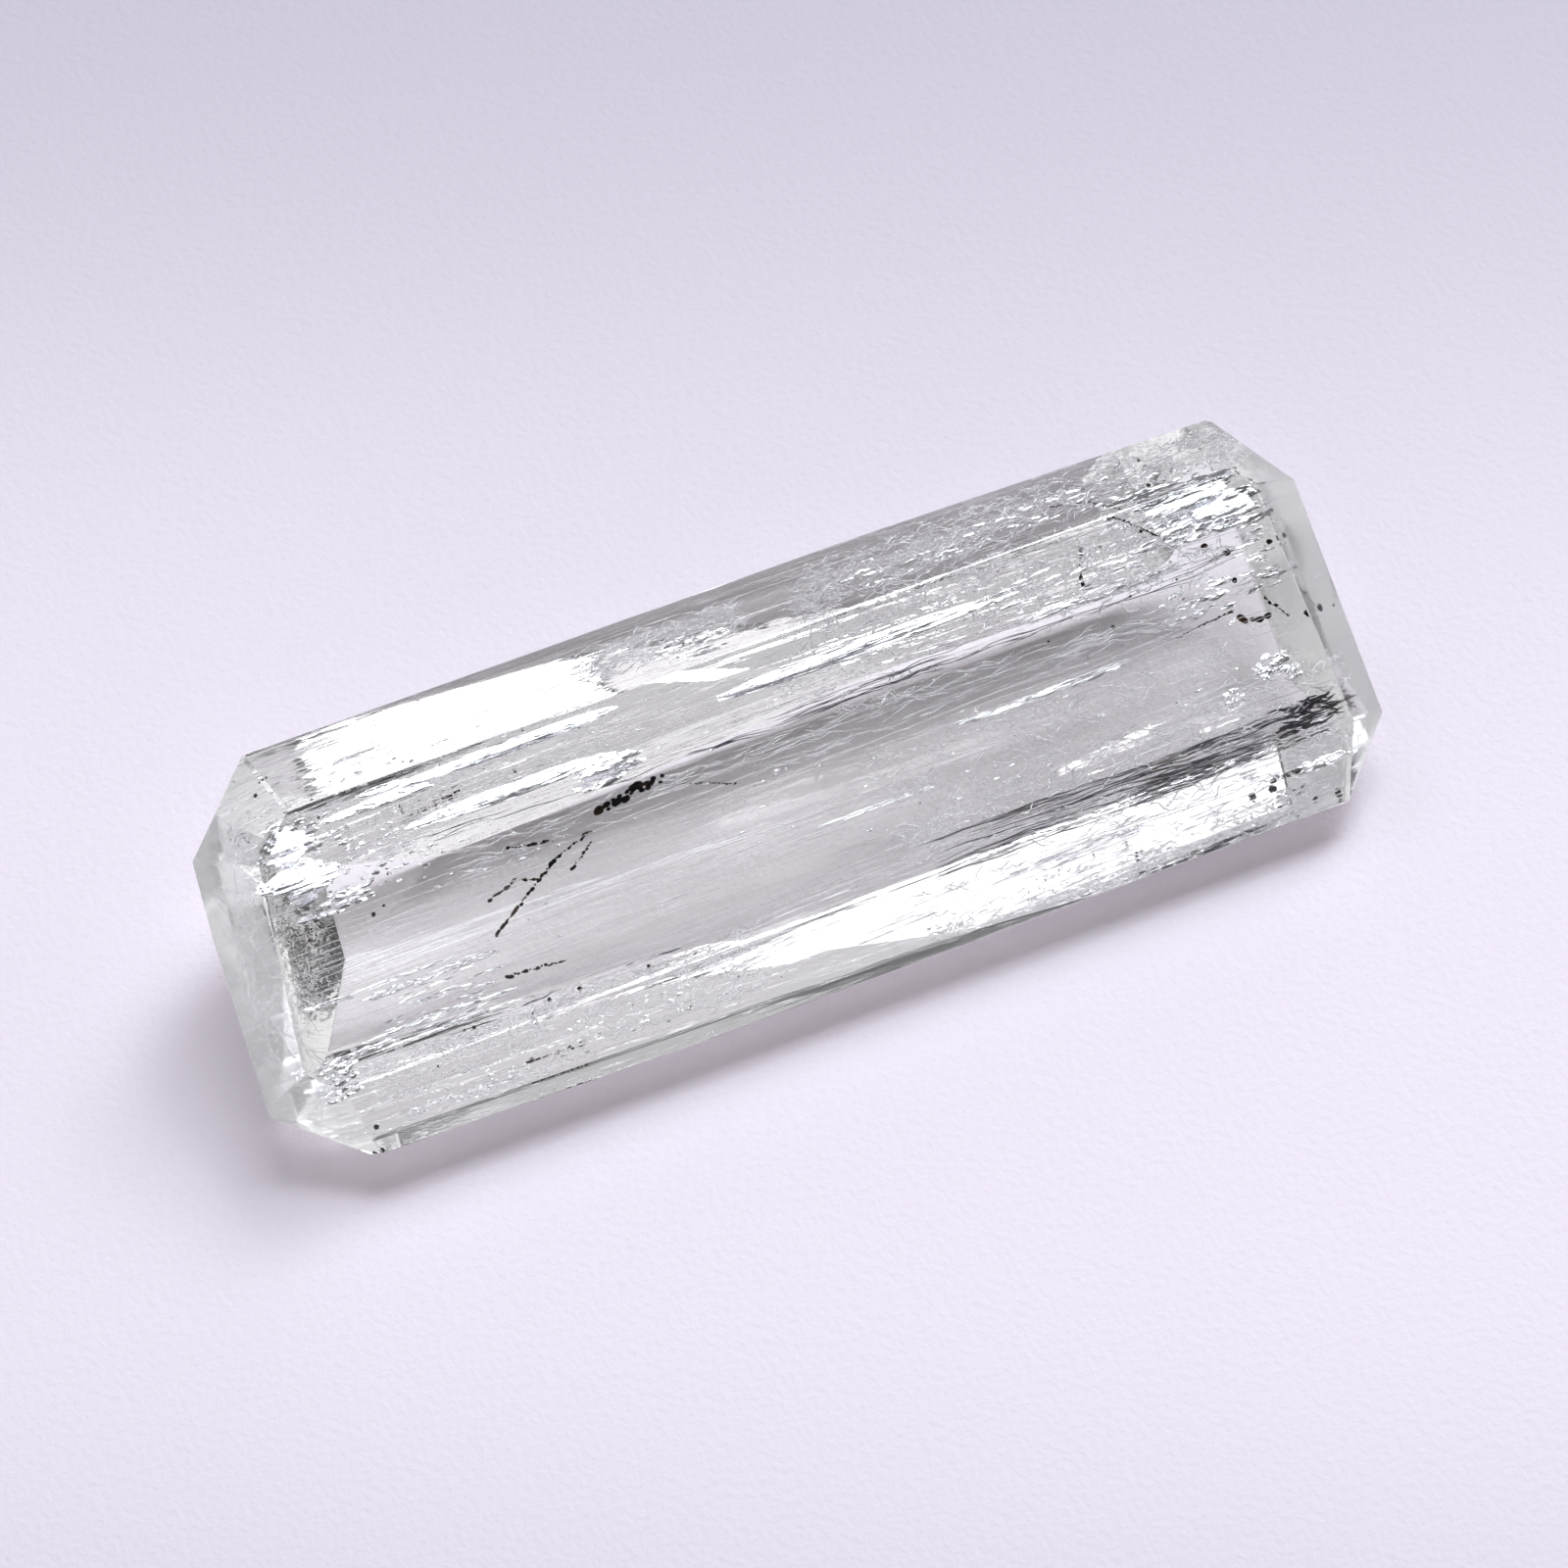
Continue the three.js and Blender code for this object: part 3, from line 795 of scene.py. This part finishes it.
def plateTree():
    tree, given, stone = newTree("plates in the stone",
                                 {"Per Patch": "Int", "Lean": "Vector", "Jag": "Vector", "Detail": "Int"})
    tilt, reach, flake = (addNode(tree, "GeometryNodeInputNamedAttribute", {"data_type": kind},
                                  {"Name": label}) for label, kind in plateMarks)
    centres = addNode(tree, "GeometryNodeMeshToPoints", links={"Mesh": given["Start"]})
    copies = addNode(tree, "GeometryNodeDuplicateElements", {"domain": "POINT"},
                     links={"Geometry": centres, "Amount": given["Per Patch"]})
    number = addNode(tree, "GeometryNodeInputIndex")
    chance = addNode(tree, "FunctionNodeRandomValue", {"data_type": "FLOAT_VECTOR"},
                     {0: (-1, -1, -1), 1: (1, 1, 1)}, {"ID": number, "Seed": given["Seed"]})
    shift = addNode(tree, "ShaderNodeVectorMath", {"operation": "MULTIPLY"}, links={0: chance, 1: reach})
    spread = addNode(tree, "GeometryNodeSetPosition", links={"Geometry": copies, "Offset": shift})
    depth = depthInside(tree, stone)[2]
    shallow = addNode(tree, "ShaderNodeMath", {"operation": "LESS_THAN"}, {1: plateGrowth["clearOfSkin"]},
                      {0: depth})
    kept = addNode(tree, "GeometryNodeDeleteGeometry", {"domain": "POINT"},
                   links={"Geometry": spread, "Selection": shallow})

    ball = addNode(tree, "GeometryNodeMeshIcoSphere", values={"Radius": 0.5},
                   links={"Subdivisions": given["Detail"]})
    growth = addNode(tree, "FunctionNodeRandomValue", {"data_type": "FLOAT"},
                     {2: plateGrowth["smallest"], 3: plateGrowth["largest"]},
                     {"ID": number, "Seed": given["Seed"]}).outputs[1]
    size = addNode(tree, "ShaderNodeVectorMath", {"operation": "SCALE"}, links={0: flake, "Scale": growth})
    slant = addNode(tree, "ShaderNodeCombineXYZ", links={"X": tilt})
    least = addNode(tree, "ShaderNodeVectorMath", {"operation": "SUBTRACT"},
                    links={0: slant, 1: given["Lean"]})
    most = addNode(tree, "ShaderNodeVectorMath", {"operation": "ADD"}, links={0: slant, 1: given["Lean"]})
    turn = addNode(tree, "FunctionNodeRandomValue", {"data_type": "FLOAT_VECTOR"},
                   links={0: least, 1: most, "ID": number, "Seed": given["Seed"]})
    rotation = addNode(tree, "FunctionNodeEulerToRotation", links={0: turn})
    plates = addNode(tree, "GeometryNodeInstanceOnPoints",
                     links={"Points": kept, "Instance": ball, "Rotation": rotation, "Scale": size})
    single = addNode(tree, "GeometryNodeRealizeInstances", links={"Geometry": plates})
    place = addNode(tree, "GeometryNodeInputPosition")
    jagPlace = addNode(tree, "ShaderNodeVectorMath", {"operation": "MULTIPLY"},
                       {1: plateGrowth["jagCells"]}, {0: place})
    rough = addNode(tree, "ShaderNodeTexNoise", values={"Scale": 1.0, "Detail": 3.0},
                    links={"Vector": jagPlace}).outputs["Color"]
    centred = addNode(tree, "ShaderNodeVectorMath", {"operation": "SUBTRACT"}, {1: (noiseMiddle,) * 3},
                      {0: rough})
    offset = addNode(tree, "ShaderNodeVectorMath", {"operation": "MULTIPLY"},
                     links={0: centred, 1: given["Jag"]})
    jagged = addNode(tree, "GeometryNodeSetPosition", links={"Geometry": single, "Offset": offset})
    finishTree(tree, given, jagged, stone)
    return tree


platesTree = plateTree()
for name, plates in (("flakes", flakes), ("ribbons", ribbons)):
    grow(name, platesTree, plateMesh(name, plates), {**plates, "Finish": film})
print("inclusions grown")


# floor and light
studio = {
    "floorSize": 900,                       # mm
    "floorColour": "#e0d9df",
    "floorShade": "#dbd4da",
    "floorPaintedShade": "#b7b3bc",                  # painted shade: the floor's colour behind the stone and far in front of it, darker where the light falls off
    "farFrom": 0, "farTo": 19,              # mm behind the stone's middle
    "nearFrom": 6, "nearTo": 22,            # mm in front of it, where the painted shade comes back
    "paperRoughness": 0.6,
    "patchSize": 60,                        # mm, from one floor colour to the other
    "tooth": {"size": 0.12, "depth": 0.03, "strength": 0.55},
    "gap": 0.005,                           # mm between the floor and the stone
    "skyColour": "#fbf8ff", "skyHorizon": 0.5, "skyTop": 0.08,
    "skyFade": 0.5,                         # sine of the height where the sky reaches its top value
    "sideWalls": 0.71,                      # added by the pale walls to the left and right
    "sideFrom": 0.25, "sideTo": 0.5,        # how far to the side, as a sine, they begin and are full
    "sideFade": (0.55, 0.85),               # sines of the heights over which they end
    "lightDistance": 400,                   # mm
    # each light's name, rise, side, span, radiance and colour: rise is measured over the top, 0 in front,
    # 90 overhead and 180 behind; side is to the right; span is how far the box reaches in those two
    # directions, all in degrees
    "lights": [
        ("front box", 35, 11, (11, 3.4), 4.5, "#faf5ff"),
        ("left card", 37, 2.0, (16, 14.4), 0.6, "#faf5ff"),
        ("right card", 37, 17.8, (16, 10), 1.0, "#faf5ff"),
        ("front card", 15.5, 8, (27, 26), 0.52, "#faf5ff"),
        ("upper card", 58, 1, (8, 16), 0.5, "#faf5ff"),
        ("back box", 107, 14, (18, 36), 8.5, "#f2f4ff"),
        ("back right box", 123, 33, (18, 24), 9, "#f2f4ff"),
        ("back left box", 123, -16, (20, 20), 3, "#f2f4ff"),
        ("back card", 125, 10, (13, 20), 1.7, "#faf5ff"),
        ("far card", 140, 9, (16, 24), 0.56, "#faf5ff"),
    ],
}


def paleSheet():
    # matt lavender-white sheet with a fine tooth, with painted shade that darkens it behind the stone and
    # far in front of it
    material, tree, place = newMaterial("matt lavender paper")
    patches = addNode(tree, "ShaderNodeTexNoise",
                      values={"Scale": 1 / (studio["patchSize"] * mm)}, links={"Vector": place})
    colour = addNode(tree, "ShaderNodeMix", {"data_type": "RGBA"},
                     {6: linear(studio["floorShade"]), 7: linear(studio["floorColour"])},
                     {"Factor": patches})
    # painted shade: the colour darkens with distance behind the stone and in front of it, standing in for
    # light that falls off
    turn = math.radians(view["turn"])
    behind = addNode(tree, "ShaderNodeVectorMath", {"operation": "DOT_PRODUCT"},
                     {1: (math.sin(turn), math.cos(turn), 0)}, {0: place}).outputs["Value"]
    paintedShadeBehind = addNode(tree, "ShaderNodeMapRange", {"interpolation_type": "SMOOTHSTEP"},
                      {"From Min": studio["farFrom"] * mm, "From Max": studio["farTo"] * mm},
                      {"Value": behind})
    paintedShadeInFront = addNode(tree, "ShaderNodeMapRange", {"interpolation_type": "SMOOTHSTEP"},
                     {"From Min": -studio["nearFrom"] * mm, "From Max": -studio["nearTo"] * mm},
                     {"Value": behind})
    paintedShadeShare = addNode(tree, "ShaderNodeMath", {"operation": "ADD"}, links={0: paintedShadeBehind, 1: paintedShadeInFront})
    shaded = addNode(tree, "ShaderNodeMix", {"data_type": "RGBA"}, {7: linear(studio["floorPaintedShade"])},
                     {6: colour.outputs[2], "Factor": paintedShadeShare})
    relief = roughened(tree, place, **studio["tooth"])[1]
    paper = addNode(tree, "ShaderNodeBsdfPrincipled", values={"Roughness": studio["paperRoughness"]},
                    links={"Base Color": shaded.outputs[2], "Normal": relief})
    addNode(tree, "ShaderNodeOutputMaterial", links={"Surface": paper})
    return material


def addFloor():
    solid = bmesh.new()
    bmesh.ops.create_grid(solid, x_segments=1, y_segments=1, size=studio["floorSize"] / 2 * mm)
    floor = addObject("floor", meshFrom(solid, "floor"), paleSheet())
    floor.location.z = -studio["gap"] * mm


def addLight(name, rise, side, span, radiance, colour):
    rise, side = math.radians(rise), math.radians(side)
    towards = Vector((math.sin(side), -math.cos(rise) * math.cos(side), math.sin(rise) * math.cos(side)))
    distance = studio["lightDistance"]
    height, width = (2 * math.tan(math.radians(part / 2)) * distance * mm for part in span)
    lamp = bpy.data.lights.new(name, "AREA")
    lamp.shape = "RECTANGLE"
    lamp.size, lamp.size_y = width, height
    lamp.energy = radiance * math.pi * width * height
    lamp.color = linear(colour)[:3]
    box = addObject(name, lamp)
    sideways = (Vector((1, 0, 0)) - towards * towards.x).normalized()
    turned = Matrix((sideways, towards.cross(sideways), towards)).transposed().to_4x4()
    box.matrix_world = Matrix.Translation(inStone(0, 0, 0) + towards * distance * mm) @ turned


def addSky():
    world = bpy.data.worlds.new("soft room")
    world.use_nodes = True
    tree = world.node_tree
    tree.nodes.clear()
    way = addNode(tree, "ShaderNodeTexCoord").outputs["Generated"]
    parts = addNode(tree, "ShaderNodeSeparateXYZ", links={"Vector": way}).outputs
    dome = addNode(tree, "ShaderNodeMapRange", {"interpolation_type": "SMOOTHSTEP"},
                   {"From Max": studio["skyFade"], "To Min": studio["skyHorizon"],
                    "To Max": studio["skyTop"]}, {"Value": parts["Z"]})
    aside = addNode(tree, "ShaderNodeMath", {"operation": "ABSOLUTE"}, links={0: parts["X"]})
    wall = addNode(tree, "ShaderNodeMapRange", {"interpolation_type": "SMOOTHSTEP"},
                   {"From Min": studio["sideFrom"], "From Max": studio["sideTo"],
                    "To Max": studio["sideWalls"]}, {"Value": aside})
    wallTop = addNode(tree, "ShaderNodeMapRange", {"interpolation_type": "SMOOTHSTEP"},
                      {"From Min": studio["sideFade"][0], "From Max": studio["sideFade"][1], "To Min": 1.0,
                       "To Max": 0.0}, {"Value": parts["Z"]})
    strength = addNode(tree, "ShaderNodeMath", {"operation": "MULTIPLY_ADD"},
                       links={0: wall, 1: wallTop, 2: dome})
    sky = addNode(tree, "ShaderNodeBackground", values={"Color": linear(studio["skyColour"])},
                  links={"Strength": strength})
    addNode(tree, "ShaderNodeOutputWorld", links={"Surface": sky})
    bpy.context.scene.world = world


lightPaths = {
    "max_bounces": 20,
    "transmission_bounces": 20,
    "glossy_bounces": 12,
    "transparent_max_bounces": 16,
    "caustics_refractive": True,
    "caustics_reflective": True,
    "blur_glossy": 0.0,
    "sample_clamp_indirect": 4.5,
}


def setRender():
    scene = bpy.context.scene
    scene.view_settings.view_transform = "Standard"
    for setting, value in lightPaths.items():
        setattr(scene.cycles, setting, value)


addFloor()
addSky()
for light in studio["lights"]:
    addLight(*light)
setRender()
print("floor and lights set")

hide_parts("scolecite_crystal")
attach(crystal, "root")
